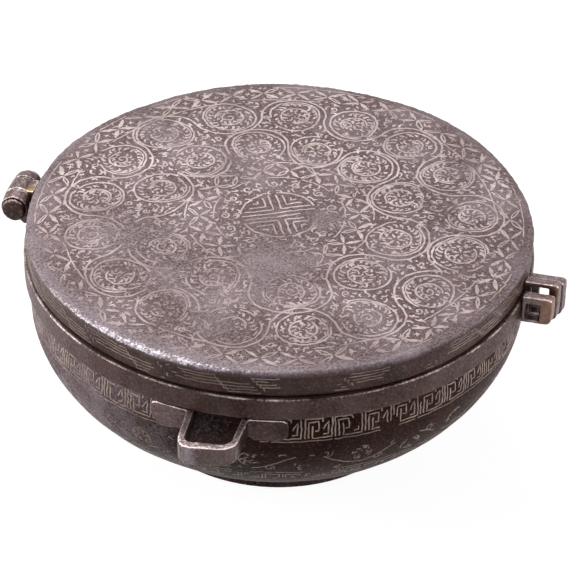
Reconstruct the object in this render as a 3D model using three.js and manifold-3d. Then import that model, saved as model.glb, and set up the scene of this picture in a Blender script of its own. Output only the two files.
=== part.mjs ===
// A covered alms bowl of wrought iron: a round bowl on a foot ring, with a hinged lid,
// two strap loops and a clasp of three pierced lugs. Millimetres, +Z up.
// The origin is the centre of the foot's underside. The hinge is at -X and the clasp at +X.
import * as THREE from "three";
import { mergeVertices } from "three/addons/utils/BufferGeometryUtils.js";
import Module from "manifold-3d";

const wasm = await Module();
wasm.setup();

// The lid
const lidRadius = 85.5;
const lidEdgeHeight = 9.1; // its side wall, up to the corner with the top
const lidCrown = 1.3;
const lidEdgeRound = 1.6;
const lidPlate = 2.4;
const skirtThickness = 3;

// The bowl's mouth
const rimHeight = 68.5; // table to the seat that the lid rests on
const seatGap = 0.6; // the hammered rims never close fully
const bandLedge = 1; // how far the band stands out past the lid
const bandHeight = 8;
const bandThickness = 3;
const lipClearance = 2.6; // lip to the lid's inner wall, for its swing
const lipThickness = 2;
const lipRise = 2.4;
const edgeRound = 0.6; // on the band, the lip and the lid's lower edge

// The bowl's side and bottom
const wallThickness = 2.8;
const bellyBulge = 5.9; // the side's upper control point, out from its top
const bellyDrop = 22.6; // and down from it
const basinSpread = 21; // the side's lower control point, out from the foot
const basinRise = 8.6; // and up from it
const bottomSag = 3.3; // how far the bottom hangs below its seat on the foot

// The foot ring
const footTopRadius = 47.6;
const footFlare = 1.2;
const footWall = 3.6;
const footSeatHeight = 5.9;
const footEdgeRound = 0.5;

// The hinge
const hingeRise = 3.6; // seat to the pin's axis
const barrelRadius = 5.3;
const barrelEndRadius = 4.7; // the outer knuckles narrow towards their free ends
const barrelClearance = 0.3; // barrel to the lid's side wall
const barrelLength = 17.2;
const middleKnuckleLength = 7.4;
const knuckleGap = 0.35;
const pinRadius = 1.7;
const pinClearance = 0.15;
const pinHeadRadius = 4.2;
const pinHeadHeight = 1.3;
const pinHeadRound = 1.1; // the heads are peened to domes
const pinHeadCrown = 0.3;
const leafThickness = 2.1;
const leafDrop = 2; // seat to the lower end of the bowl's leaves
const leafChamfer = 0.9;
const lidLeafHeight = 4.6;

// The clasp. Each lug was forged by itself, so its heights and its hole are its own.
const claspOffset = -7.65; // the row's middle, set a little to the front
const lugThickness = 3.7;
const lugGap = 1.8;
const lugLength = 10.2; // out from the band, at the row's middle
const lugSkew = 0.21; // how much further out each lug stands, over the distance along the row
const lugTopRound = 1.2;
const lugBottomRound = 1.7;
// Heights are from the seat. A hole's edge is its distance from the end of the lug's front face.
const frontLugSizes = { top: 2.2, bottom: -7.8, holeTop: -0.3, holeBottom: -6.8, holeEdge: 4, holeWidth: 4.6 };
const lidLugSizes = { top: 4.6, bottom: -9.6, holeTop: 2.9, holeBottom: -7.8, holeEdge: 3, holeWidth: 6 };
const rearLugSizes = { ...frontLugSizes, bottom: -11.2, holeEdge: 3.4 };

// The strap loops
const loopOpening = 15.6;
const loopDepth = 16.6; // band to the middle of the front bar's outer face
const loopTaper = 0.8; // how far each arm leans in, over its length
const loopSlant = 0.13; // and one of its ends a little further out, over its length
const loopCorner = 5;
const strapThickness = 2.3;
const barThickness = 3; // the front bar is thicker than the arms and tabs
const strapHeight = 6.8;
const tabHeight = 8.1; // the tabs were hammered wider
const tabLength = 12.8;
const tabTopRound = 2.4;
const tabBottomRound = 3.4;

// Between pieces that are brazed or seated on each other
const touchGap = 0.3;

// How far a cutting body runs past what it cuts
const cutMargin = 1;

// Fineness of round shapes
const roundSteps = 72;
const barrelSteps = 32;
const sideSteps = 12;
const bottomSteps = 6;
const arcSteps = 4;

// Sizes that follow
const bandOuterRadius = lidRadius + bandLedge;
const bandInnerRadius = bandOuterRadius - bandThickness;
const bandBottom = rimHeight - bandHeight;
const shellTopRadius = bandInnerRadius - touchGap;
const lipOuterRadius = lidRadius - skirtThickness - lipClearance;
const lipInnerRadius = lipOuterRadius - lipThickness;
const lidBottom = rimHeight + seatGap;
const lidEdgeTop = lidBottom + lidEdgeHeight;
const hingeReach = barrelRadius + barrelClearance; // lid's side wall to the pin's axis
const hingeX = -(lidRadius + hingeReach);
const hingeZ = rimHeight + hingeRise;
const lugInner = bandOuterRadius + touchGap;
const lugReach = lugInner + lugLength;
const strapTop = bandBottom - touchGap;

const V2 = (x, y) => new THREE.Vector2(x, y);

// Points along an arc from one angle to another, both in degrees.
function arc(centreX, centreY, radius, from, to) {
  return Array.from({ length: arcSteps + 1 }, (_, i) => {
    const angle = THREE.MathUtils.degToRad(from + ((to - from) * i) / arcSteps);
    return V2(centreX + radius * Math.cos(angle), centreY + radius * Math.sin(angle));
  });
}

// A closed ring profile, or one that starts and ends on the axis, turned about Z.
function turned(profile) {
  const geometry = new THREE.LatheGeometry(profile, roundSteps);
  geometry.rotateX(Math.PI / 2);
  return geometry;
}

// A flat outline of X and Z, given a thickness along Y and centred on the given Y.
function plate(shape, thickness, centreY) {
  const geometry = new THREE.ExtrudeGeometry(shape, { depth: thickness, bevelEnabled: false });
  geometry.rotateX(Math.PI / 2);
  geometry.translate(0, centreY + thickness / 2, 0);
  return geometry;
}

function solidOf(geometry) {
  const bare = geometry.clone();
  bare.deleteAttribute("normal");
  bare.deleteAttribute("uv");
  const merged = mergeVertices(bare, 1e-4);
  return new wasm.Manifold(
    new wasm.Mesh({
      numProp: 3,
      vertProperties: merged.attributes.position.array,
      triVerts: new Uint32Array(merged.index.array),
    }),
  );
}

function geometryOf(solid) {
  const mesh = solid.getMesh();
  const geometry = new THREE.BufferGeometry();
  geometry.setAttribute("position", new THREE.BufferAttribute(mesh.vertProperties, 3));
  geometry.setIndex(new THREE.BufferAttribute(mesh.triVerts, 1));
  return geometry;
}

// The outside of the bowl as points of radius and height: the side runs down from under the
// band to the foot, and the bottom goes on to the axis.
const footSeat = V2(footTopRadius, footSeatHeight);
const bottomHeight = footSeatHeight - bottomSag;
const sidePoints = new THREE.CubicBezierCurve(
  V2(shellTopRadius, bandBottom),
  V2(shellTopRadius + bellyBulge, bandBottom - bellyDrop),
  V2(footTopRadius + basinSpread, footSeatHeight + basinRise),
  footSeat,
).getPoints(sideSteps);
const bottomPoints = new THREE.QuadraticBezierCurve(
  footSeat,
  V2(footTopRadius - (bottomSag * basinSpread) / basinRise, bottomHeight),
  V2(0, bottomHeight),
).getPoints(bottomSteps);

// The height of the bowl's underside at a radius inside the foot.
function undersideAt(radius) {
  const next = bottomPoints.findIndex((p, i) => i > 0 && p.x <= radius);
  const [a, b] = [bottomPoints[next - 1], bottomPoints[next]];
  return a.y + ((b.y - a.y) * (a.x - radius)) / (a.x - b.x);
}

// The widest radius of the bowl's side at or above a height.
function sideRadiusAbove(height) {
  const above = sidePoints.findIndex((p) => p.y < height);
  return Math.max(...sidePoints.slice(0, above + 1).map((p) => p.x));
}

// The inside of the wall: square to the outside, and thicker towards the rim.
function insidePoints(outside) {
  const rimWall = shellTopRadius - lipInnerRadius;
  return outside.map((p, i) => {
    const before = outside[Math.max(i - 1, 0)];
    const after = outside[Math.min(i + 1, outside.length - 1)];
    const along = after.clone().sub(before).normalize();
    const nearRim = Math.max(1 - i / sideSteps, 0) ** 3;
    const wall = THREE.MathUtils.lerp(wallThickness, rimWall, nearRim);
    return V2(p.x + along.y * wall, p.y - along.x * wall);
  });
}

function bowlShell() {
  const outside = [...sidePoints, ...bottomPoints.slice(1)];
  const lipTop = rimHeight + lipRise;
  return turned([
    ...outside.slice().reverse(),
    V2(shellTopRadius, rimHeight),
    V2(lipOuterRadius, rimHeight),
    V2(lipOuterRadius, lipTop - edgeRound),
    V2(lipOuterRadius - edgeRound, lipTop),
    V2(lipInnerRadius + edgeRound, lipTop),
    V2(lipInnerRadius, lipTop - edgeRound),
    ...insidePoints(outside).slice(1, -1),
    V2(0, bottomHeight + wallThickness),
  ]);
}

function rimBand() {
  const edge = bandOuterRadius - edgeRound;
  return turned([
    V2(bandInnerRadius, bandBottom),
    ...arc(edge, bandBottom + edgeRound, edgeRound, -90, 0),
    ...arc(edge, rimHeight - edgeRound, edgeRound, 0, 90),
    V2(bandInnerRadius, rimHeight),
    V2(bandInnerRadius, bandBottom),
  ]);
}

function footRing() {
  const innerRadius = footTopRadius - footWall;
  const edge = footTopRadius + footFlare - footEdgeRound;
  return turned([
    V2(innerRadius, 0),
    ...arc(edge, footEdgeRound, footEdgeRound, -90, 0),
    V2(footTopRadius, undersideAt(footTopRadius) - touchGap),
    V2(innerRadius, undersideAt(innerRadius) - touchGap),
    V2(innerRadius, 0),
  ]);
}

function lidShell() {
  const innerRadius = lidRadius - skirtThickness;
  const edge = lidRadius - lidEdgeRound;
  const crownSteps = [0.96, 0.78, 0.55, 0.3, 0];
  const crownAt = (radius) => lidCrown * (1 - (radius / lidRadius) ** 2);
  const topAt = (radius) => V2(radius, lidEdgeTop + crownAt(radius));
  const underAt = (radius) => V2(radius, lidEdgeTop - lidPlate + crownAt(radius));
  return turned([
    ...crownSteps.map((share) => underAt(share * innerRadius)).reverse(),
    V2(innerRadius, lidEdgeTop - lidPlate - lidEdgeRound),
    V2(innerRadius, lidBottom),
    ...arc(lidRadius - edgeRound, lidBottom + edgeRound, edgeRound, -90, 0),
    ...arc(edge, lidEdgeTop - lidEdgeRound, lidEdgeRound, 0, 90),
    ...crownSteps.map((share) => topAt(share * edge)),
  ]);
}

const outerKnuckleLength = (barrelLength - middleKnuckleLength) / 2 - knuckleGap;
const outerKnuckleY = (barrelLength - outerKnuckleLength) / 2;

// A knuckle is a bored barrel along Y joined to its leaf, whose outline is relative to the axis.
// The radii are those of its rear and front ends.
function knuckle(length, centreY, leaf, rearRadius, frontRadius) {
  const cylinder = (rear, front, depth) =>
    solidOf(new THREE.CylinderGeometry(rear, front, depth, barrelSteps).translate(0, centreY, 0));
  const boreRadius = pinRadius + pinClearance;
  const bore = cylinder(boreRadius, boreRadius, 2 * length);
  const leafSolid = solidOf(plate(new THREE.Shape(leaf), length, centreY));
  return geometryOf(cylinder(rearRadius, frontRadius, length).add(leafSolid).subtract(bore));
}

// The bowl's leaf runs from under the barrel to the top of the band's outer face.
function bowlLeaf() {
  const inner = -hingeX - bandOuterRadius - touchGap;
  const outer = inner - leafThickness;
  const bottom = -hingeRise - leafDrop;
  return [
    V2(inner, 0),
    V2(0, 0),
    V2(outer, bottom + leafChamfer),
    V2(outer + leafChamfer, bottom),
    V2(inner, bottom),
  ];
}

// The lid's leaf runs from the barrel to the upper part of the lid's side wall.
function lidLeaf() {
  const wall = hingeReach - touchGap;
  const top = lidEdgeTop - hingeZ - lidEdgeRound;
  return [
    V2(0, top),
    V2(0, top - lidLeafHeight),
    V2(wall, top - lidLeafHeight),
    V2(wall, top),
  ];
}

function hingePin() {
  const half = barrelLength / 2 + knuckleGap;
  const shoulder = half + pinHeadHeight - pinHeadRound;
  const upperHalf = [
    V2(pinRadius, half),
    V2(pinHeadRadius, half),
    ...arc(pinHeadRadius - pinHeadRound, shoulder, pinHeadRound, 0, 90),
    V2(0, half + pinHeadHeight + pinHeadCrown),
  ];
  const lowerHalf = upperHalf.map((p) => V2(p.x, -p.y)).reverse();
  return new THREE.LatheGeometry([...lowerHalf, ...upperHalf], barrelSteps);
}

// A cylinder about the bowl's axis, seen from the clasp, to fit a lug's inner end to.
function roundBody(radius, low, high) {
  const cylinder = new THREE.CylinderGeometry(radius, radius, high - low, roundSteps);
  return solidOf(cylinder.rotateX(Math.PI / 2).translate(0, -claspOffset, (low + high) / 2));
}

// A lug is a plate that starts inside the rim and is cut to fit the round bodies. Its hole is
// punched square through it.
function lug(offset, sizes, bodies) {
  const inner = lidRadius - skirtThickness;
  const { top, bottom, holeTop, holeBottom } = sizes;
  const outline = new THREE.Shape([
    ...arc(lugReach - lugBottomRound, bottom + lugBottomRound, lugBottomRound, -90, 0),
    ...arc(lugReach - lugTopRound, top - lugTopRound, lugTopRound, 0, 90),
    V2(inner, top),
    V2(inner, bottom),
  ]);
  const blank = plate(outline, lugThickness, offset);
  blank.applyMatrix4(new THREE.Matrix4().makeShear(0, 0, lugSkew, 0, 0, 0));
  const frontEnd = lugReach + lugSkew * (offset - lugThickness / 2);
  const holeOuter = frontEnd - sizes.holeEdge;
  const holeInner = holeOuter - sizes.holeWidth;
  const punch = new THREE.Shape([
    V2(holeInner, holeBottom),
    V2(holeOuter, holeBottom),
    V2(holeOuter, holeTop),
    V2(holeInner, holeTop),
  ]);
  const hole = solidOf(plate(punch, lugThickness + 2 * cutMargin, offset));
  return geometryOf([hole, ...bodies].reduce((solid, cut) => solid.subtract(cut), solidOf(blank)));
}

// The bowl's lugs stand on the band.
function bowlLug(offset, sizes) {
  return lug(offset, sizes, [roundBody(lugInner, sizes.bottom - cutMargin, sizes.top + cutMargin)]);
}

// The lid's lug is brazed to the lid's side wall and hangs past the band between the others.
function lidLug() {
  const bottom = lidLugSizes.bottom - cutMargin;
  return lug(0, lidLugSizes, [
    roundBody(lidRadius + touchGap, bottom, lidLugSizes.top + cutMargin),
    roundBody(bandOuterRadius + 2 * touchGap, bottom, seatGap + touchGap),
  ]);
}

// A strap loop is one strip bent to a U, with a tab at each end that hugs the bowl's side.
// It is drawn in plan, standing out along +Y, and cut to its outline in elevation.
function strapLoop() {
  const bottom = strapTop - strapHeight;
  const tabBottom = strapTop - tabHeight;
  const inner = sideRadiusAbove(tabBottom) + touchGap;
  const outer = inner + strapThickness;
  const front = bandOuterRadius + loopDepth;
  const halfIn = loopOpening / 2;
  const halfOut = halfIn + strapThickness;
  const tabAngle = (halfOut + tabLength) / outer;
  const insideCorner = loopCorner - strapThickness;
  const onWall = (radius, angle) => V2(radius * Math.sin(angle), radius * Math.cos(angle));
  const along = (radius, from, to) =>
    [0, 1, 2, 3].map((i) => onWall(radius, THREE.MathUtils.lerp(from, to, i / 3)));
  const right = [
    ...arc(halfOut - loopCorner, front - loopCorner, loopCorner, 90, 0),
    ...along(outer, Math.asin(halfOut / outer), tabAngle),
    ...along(inner, tabAngle, Math.asin(halfIn / inner)),
    ...arc(halfIn - insideCorner, front - barThickness - insideCorner, insideCorner, 0, 90),
  ];
  const left = right.map((p) => V2(-p.x, p.y)).reverse();
  const bent = [...right, ...left].map((p) => {
    const share = Math.max(p.y - outer, 0) / (front - outer);
    return V2(p.x * (1 - (loopTaper / halfOut) * share), p.y + loopSlant * p.x * share);
  });
  const strip = new THREE.ExtrudeGeometry(new THREE.Shape(bent), {
    depth: tabHeight,
    bevelEnabled: false,
  }).translate(0, 0, tabBottom);

  const reach = outer * Math.sin(tabAngle);
  const tabStart = halfOut + touchGap;
  const rightHalf = [
    V2(tabStart, bottom),
    V2(tabStart + tabHeight - strapHeight, tabBottom),
    ...arc(reach - tabBottomRound, tabBottom + tabBottomRound, tabBottomRound, -90, 0),
    ...arc(reach - tabTopRound, strapTop - tabTopRound, tabTopRound, 0, 90),
  ];
  const leftHalf = rightHalf.map((p) => V2(-p.x, p.y)).reverse();
  const ends = plate(new THREE.Shape([...rightHalf, ...leftHalf]), 2 * front, front);
  return geometryOf(solidOf(strip).intersect(solidOf(ends)));
}

const iron = (color, roughness) =>
  new THREE.MeshStandardMaterial({ color, roughness, metalness: 0.7 });
const bodyIron = iron(0x5b4c4c, 0.55);
const edgeIron = iron(0x6b5f5e, 0.5);
const fittingIron = iron(0x4f4743, 0.6);

function piece(name, geometry, material) {
  const mesh = new THREE.Mesh(geometry, material.clone());
  mesh.name = name;
  return mesh;
}

const bowl = new THREE.Group();
bowl.add(
  piece("bowl_shell", bowlShell(), bodyIron),
  piece("rim_band", rimBand(), edgeIron),
  piece("foot_ring", footRing(), bodyIron),
);

const frontLoop = piece("front_strap_loop", strapLoop(), fittingIron);
frontLoop.rotation.z = Math.PI;
bowl.add(frontLoop, piece("rear_strap_loop", strapLoop(), fittingIron));

const lid = new THREE.Group();
lid.add(piece("lid_shell", lidShell(), bodyIron));

const hinge = new THREE.Group();
hinge.position.set(hingeX, 0, hingeZ);
const frontKnuckle = knuckle(
  outerKnuckleLength,
  -outerKnuckleY,
  bowlLeaf(),
  barrelRadius,
  barrelEndRadius,
);
const rearKnuckle = knuckle(
  outerKnuckleLength,
  outerKnuckleY,
  bowlLeaf(),
  barrelEndRadius,
  barrelRadius,
);
const lidKnuckle = knuckle(middleKnuckleLength, 0, lidLeaf(), barrelRadius, barrelRadius);
hinge.add(
  piece("hinge_knuckle_front", frontKnuckle, fittingIron),
  piece("hinge_knuckle_rear", rearKnuckle, fittingIron),
  piece("hinge_knuckle_lid", lidKnuckle, fittingIron),
  piece("hinge_pin", hingePin(), edgeIron),
);

const clasp = new THREE.Group();
clasp.position.set(0, claspOffset, rimHeight);
const lugStep = lugThickness + lugGap;
clasp.add(
  piece("clasp_lug_front", bowlLug(-lugStep, frontLugSizes), fittingIron),
  piece("clasp_lug_lid", lidLug(), fittingIron),
  piece("clasp_lug_rear", bowlLug(lugStep, rearLugSizes), fittingIron),
);

const almsBowl = new THREE.Group();
almsBowl.add(bowl, lid, hinge, clasp);

export default almsBowl;
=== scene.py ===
import bpy
import math
import random
import numpy as np
from mathutils import Matrix, Vector, noise


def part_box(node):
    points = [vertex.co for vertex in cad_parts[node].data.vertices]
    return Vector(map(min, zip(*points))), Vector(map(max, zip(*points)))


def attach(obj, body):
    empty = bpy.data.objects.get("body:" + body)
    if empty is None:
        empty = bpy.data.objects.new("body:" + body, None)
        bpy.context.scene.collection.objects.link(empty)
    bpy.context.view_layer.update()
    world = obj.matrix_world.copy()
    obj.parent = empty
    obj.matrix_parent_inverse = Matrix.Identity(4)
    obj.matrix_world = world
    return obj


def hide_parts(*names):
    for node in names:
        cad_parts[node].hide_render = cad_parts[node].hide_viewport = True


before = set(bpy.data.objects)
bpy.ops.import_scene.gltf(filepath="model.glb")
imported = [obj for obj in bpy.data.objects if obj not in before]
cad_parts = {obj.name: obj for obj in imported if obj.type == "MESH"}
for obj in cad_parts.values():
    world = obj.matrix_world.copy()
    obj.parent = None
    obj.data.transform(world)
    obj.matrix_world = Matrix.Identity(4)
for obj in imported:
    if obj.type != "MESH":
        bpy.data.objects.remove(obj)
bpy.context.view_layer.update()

scene = bpy.context.scene
scene.view_settings.view_transform = "Standard"
mm = 0.001
turn = 2 * math.pi
draw = random.Random(11)
print("stage: frame loaded")


# Small tools

def only(piece):
    # makes one piece the only selected and active one
    bpy.ops.object.select_all(action="DESELECT")
    piece.select_set(True)
    bpy.context.view_layer.objects.active = piece
    return piece


def finishWith(piece, kind, **settings):
    # adds one modifier and applies it
    only(piece)
    modifier = piece.modifiers.new(kind.lower(), kind)
    for key, value in settings.items():
        setattr(modifier, key, value)
    bpy.ops.object.modifier_apply(modifier=modifier.name)


def dent(piece, name, size, strength, group="", depth=2):
    # displaces a surface by a cloud pattern, as a hammer and rust leave it, sizes in mm
    texture = bpy.data.textures.new(name, "CLOUDS")
    texture.noise_scale = size * mm
    texture.noise_depth = depth
    finishWith(piece, "DISPLACE", texture=texture, texture_coords="LOCAL", strength=strength * mm,
               mid_level=0.5, direction="NORMAL", vertex_group=group)


def roundPiece(name, profile, steps):
    # a circle drawn at the profile's first point, then extruded and scaled from point to point, in mm
    bpy.ops.object.select_all(action="DESELECT")
    r, z = profile[0]
    bpy.ops.mesh.primitive_circle_add(vertices=steps, radius=r * mm, location=(0, 0, z * mm))
    piece = bpy.context.active_object
    piece.name = name
    bpy.ops.object.mode_set(mode="EDIT")
    bpy.ops.mesh.select_all(action="SELECT")
    for nextR, nextZ in profile[1:]:
        bpy.ops.mesh.extrude_edges_move(TRANSFORM_OT_translate={"value": (0, 0, (nextZ - z) * mm)})
        bpy.ops.transform.resize(value=(nextR / r, nextR / r, 1), center_override=(0, 0, nextZ * mm))
        r, z = nextR, nextZ
    bpy.ops.mesh.select_all(action="SELECT")
    bpy.ops.mesh.remove_doubles(threshold=0.01 * mm)
    bpy.ops.mesh.fill_holes(sides=0)
    bpy.ops.mesh.select_all(action="SELECT")
    bpy.ops.mesh.normals_make_consistent(inside=False)
    bpy.ops.object.mode_set(mode="OBJECT")
    bpy.ops.object.transform_apply(location=True, rotation=True, scale=True)
    return piece


def smoothShade(piece):
    # round shading, with edges sharper than 40 degrees kept crisp
    only(piece)
    bpy.ops.object.shade_smooth_by_angle(angle=math.radians(40))


def evenly(start, end, count):
    # evenly spaced values, both ends included
    return [start + (end - start) * i / count for i in range(count + 1)]


def along(start, end, share):
    # the point at a share of the way from one point to another
    return (start[0] + (end[0] - start[0]) * share, start[1] + (end[1] - start[1]) * share)


def corner(r, z, radius, start, end, count):
    # the points of a rounded corner about a centre, angles in degrees
    return [(r + radius * math.cos(a), z + radius * math.sin(a))
            for a in evenly(math.radians(start), math.radians(end), count)]


def between(start, end, count):
    # points strictly between two others
    return [along(start, end, i / (count + 1)) for i in range(1, count + 1)]


def writeValues(mesh, name, values):
    # one value from 0 to 1 on every point of a mesh
    layer = mesh.attributes.new(name=name, type="FLOAT", domain="POINT")
    layer.data.foreach_set("value", [min(max(value, 0), 1) for value in values])


def paint(piece, name, rule):
    # values by a rule that takes a point's place in mm and its normal
    writeValues(piece.data, name, [rule(*(v.co / mm), v.normal) for v in piece.data.vertices])


def ramp(value, low, high):
    t = min(max((value - low) / (high - low), 0.0), 1.0)
    return t * t * (3 - 2 * t)


def cloud(x, y, size, seed=0.0):
    # smooth noise from about -1 to 1, in patches of the given size
    return noise.noise(Vector((x / size, y / size, seed)))


def reshape(piece, rule):
    # moves points outward or inward: the rule gives the growth in mm from an angle, a radius and a height
    for v in piece.data.vertices:
        x, y, z = v.co / mm
        r = math.hypot(x, y)
        grow = 1 + rule(math.atan2(y, x), r, z) / max(r, 20)
        v.co.x *= grow
        v.co.y *= grow


def rubbed(piece, rounds, gain, polishAndTopLight):
    # how far each point stands out from the smoothed shape, for edges that hands have rubbed bright,
    # and a polish with painted light from above on the faces that look upward
    points, lines = piece.data.vertices, piece.data.edges
    place, normal = np.zeros(len(points) * 3), np.zeros(len(points) * 3)
    edges = np.zeros(len(lines) * 2, dtype=np.int64)
    points.foreach_get("co", place)
    points.foreach_get("normal", normal)
    lines.foreach_get("vertices", edges)
    place, normal, edges = place.reshape(-1, 3), normal.reshape(-1, 3), edges.reshape(-1, 2)
    share = np.maximum(np.bincount(edges.ravel(), minlength=len(points)), 1)[:, None]
    upward = np.clip((normal[:, 2] - 0.25) / 0.6, 0, 1)
    soft = place.copy()
    for _ in range(rounds):
        total = np.zeros_like(soft)
        np.add.at(total, edges[:, 0], soft[edges[:, 1]])
        np.add.at(total, edges[:, 1], soft[edges[:, 0]])
        soft = 0.5 * soft + 0.5 * total / share
    proud = ((place - soft) * normal).sum(axis=1) / mm
    writeValues(piece.data, "wearAndHighlight", np.clip(proud * gain, 0, 1) * (0.3 + 0.7 * upward) + polishAndTopLight * upward)


# The lid: a forged disc with a turned-down side, its top edge rubbed bright at the front, with a painted
# highlight there

lidLow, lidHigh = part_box("lid_shell")
lid = {
    "radius": lidHigh.y / mm,
    "bottom": lidLow.z / mm,
    "crownTop": lidHigh.z / mm - 0.15,
    "edgeHeight": 9.1,
    "edgeRound": 1.3,
    "plate": 2.4,
    "skirt": 3.0,
    "steps": 512,
    "topRings": 66,
    "lobes": 7,             # the hammered outline swells and shrinks a little round the rim
    "lobeHeight": 0.3,
    "lobeWay": 58,
    "dents": (11.0, 0.36),  # size and depth of the hammer's marks
    "nicks": (2.0, 0.55),
    # how far the worn bloom and its painted sheen reach in from the edge, in mm
    "rubAndSheenReach": 9.0,
    "rubAndHighlightWay": 252,          # the side that faces the viewer's lower left is rubbed most, and carries the painted highlight
}
lidEdgeTop = lid["bottom"] + lid["edgeHeight"]
lidCrown = lid["crownTop"] - lidEdgeTop


def lidTopAt(r):
    return lidEdgeTop + lidCrown * (1 - (r / lid["radius"]) ** 2)


def makeLid():
    radius, inner = lid["radius"], lid["radius"] - lid["skirt"]
    edge, lowEdge = lid["edgeRound"], 0.6
    under = [(inner * share, lidTopAt(inner * share) - lid["plate"])
             for share in (0.006, 0.2, 0.4, 0.6, 0.75, 0.88, 0.96)]
    wallTop = (inner, lidEdgeTop - lid["plate"] - edge)
    wallLow = (inner, lid["bottom"])
    side = [(radius, lid["bottom"] + lowEdge), (radius, lidEdgeTop - edge)]
    topStart = radius - edge
    rings = [topStart * (1 - i / lid["topRings"]) for i in range(1, lid["topRings"])]
    top = [(r, lidTopAt(r)) for r in rings] + [(0.4, lid["crownTop"])]
    profile = (under + [wallTop] + between(wallTop, wallLow, 2) + [wallLow]
               + corner(radius - lowEdge, lid["bottom"] + lowEdge, lowEdge, -90, 0, 3)
               + between(side[0], side[1], 7)
               + corner(radius - edge, lidEdgeTop - edge, edge, 0, 90, 6) + top)
    return roundPiece("lidPlate", profile, lid["steps"])


lidPlate = makeLid()
lobeWay = math.radians(lid["lobeWay"])
reshape(lidPlate, lambda a, r, z: (lid["lobeHeight"] * math.cos(lid["lobes"] * (a - lobeWay))
                                   * ramp(r, 30, 80)))
edgeGroup = lidPlate.vertex_groups.new(name="topEdge")
for v in lidPlate.data.vertices:
    r, z = math.hypot(v.co.x, v.co.y) / mm, v.co.z / mm
    nearEdge = ramp(r, lid["radius"] - 3.5, lid["radius"] - 1.2) * ramp(z, lidEdgeTop - 4, lidEdgeTop - 1)
    edgeGroup.add([v.index], nearEdge, "REPLACE")
dent(lidPlate, "lidDents", *lid["dents"])
dent(lidPlate, "lidNicks", *lid["nicks"], group="topEdge")
smoothShade(lidPlate)
rubAndHighlightWay = math.radians(lid["rubAndHighlightWay"])


def facingRubAndHighlight(x, y):
    # 1 at the side that is rubbed most and carries the painted highlight and sheen, 0 opposite
    return 0.5 + 0.5 * math.cos(math.atan2(y, x) - rubAndHighlightWay)


def lidWearAndHighlight(x, y, z, normal):
    # a thin bright line on the very edge: rubbed metal, with a painted highlight that is strongest at the
    # front
    r = math.hypot(x, y)
    front = facingRubAndHighlight(x, y) ** 18
    reach = 0.7 + 2.8 * front * (1 + 0.8 * cloud(x, y, 5))
    edge = (ramp(r, lid["radius"] - reach - 0.9, lid["radius"] - 0.7)
            * ramp(z, lidEdgeTop - 1.4, lidEdgeTop - 0.6))
    return edge * (0.12 + 0.62 * front + 0.3 * cloud(x, y, 2.5) * front)


# Where cloths and hands have rubbed the silver thin: place and reach in mm, and strength
rubbedSpots = [(-48, -20, 17, 0.55), (-27, -40, 15, 0.45), (4, -27, 16, 0.75), (15, 2, 9, 0.8),
               (-22, 22, 10, 0.45), (-56, 42, 12, 0.4), (-8, -64, 13, 0.4), (36, -62, 12, 0.35),
               (55, 44, 8, 0.35), (-30, 62, 12, 0.3)]


def spotsAt(x, y):
    return sum(strength * math.exp(-((x - u) ** 2 + (y - v) ** 2) / reach ** 2)
               for u, v, reach, strength in rubbedSpots)


def lidHazeAndSheen(x, y, z, normal):
    # a lilac-grey bloom: wear on the rubbed spots, and wear with a painted sheen inside the edge, wide at
    # the side that is rubbed most
    r = math.hypot(x, y)
    front = facingRubAndHighlight(x, y) ** 3
    reach = 3.0 + lid["rubAndSheenReach"] * front * (1 + 0.8 * cloud(x, y, 11))
    edge = ramp(r, lid["radius"] - reach, lid["radius"] - 0.6) * (0.35 + 0.65 * front)
    return max(edge, 0.75 * spotsAt(x, y) * (1 + 0.6 * cloud(x, y, 6))) * ramp(normal.z, 0.2, 0.7)


def lidShade(x, y, z, normal):
    # the side wall and the inside are darker: patina where hands and cloths never polish, and painted shade
    # on the side wall
    return max(ramp(z, lidEdgeTop - 0.8, lidEdgeTop - 2.0), ramp(normal.z, -0.2, -0.6))


paint(lidPlate, "wearAndHighlight", lidWearAndHighlight)
paint(lidPlate, "patinaAndShade", lidShade)
paint(lidPlate, "haze", lidHazeAndSheen)
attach(lidPlate, "lid")
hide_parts("lid_shell")
print("stage: lid")


# The bowl: raised from one sheet, a little fuller at the left than at the right

bandLow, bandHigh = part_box("rim_band")
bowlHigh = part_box("bowl_shell")[1]
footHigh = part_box("foot_ring")[1]
bowl = {
    "topRadius": bandHigh.y / mm - 3.3,
    "bandBottom": bandLow.z / mm,
    "seat": bandHigh.z / mm,
    "lipTop": bowlHigh.z / mm,
    "lipOuter": 79.9,
    "lipThickness": 2.0,
    "bulge": 5.9,
    "drop": 22.6,
    "footRadius": 47.6,
    "footSeat": 5.9,
    "spread": 21.0,
    "rise": 8.6,
    "sag": 3.3,
    "wall": 2.8,
    "steps": 400,
    "swell": 1.3,           # how much fuller the left side is
    "swellWay": 208,
    "darkWay": 300,         # where the patina and the painted shade are deepest
    "dents": (14.0, 0.4),
}


def bezier(points, count):
    out = []
    for i in range(count + 1):
        row = [Vector(p) for p in points]
        while len(row) > 1:
            row = [a.lerp(b, i / count) for a, b in zip(row[:-1], row[1:])]
        out.append((row[0].x, row[0].y))
    return out


def bowlOutside():
    # from the axis along the bottom to the foot's seat, and up the side to the band
    seat = (bowl["footRadius"], bowl["footSeat"])
    low = bowl["footSeat"] - bowl["sag"]
    turnIn = bowl["footRadius"] - bowl["sag"] * bowl["spread"] / bowl["rise"]
    bottom = bezier([(0.4, low), (turnIn, low), seat], 10)
    side = bezier([seat, (seat[0] + bowl["spread"], seat[1] + bowl["rise"]),
                   (bowl["topRadius"] + bowl["bulge"], bowl["bandBottom"] - bowl["drop"]),
                   (bowl["topRadius"], bowl["bandBottom"])], 46)
    return bottom + side[1:]


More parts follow.
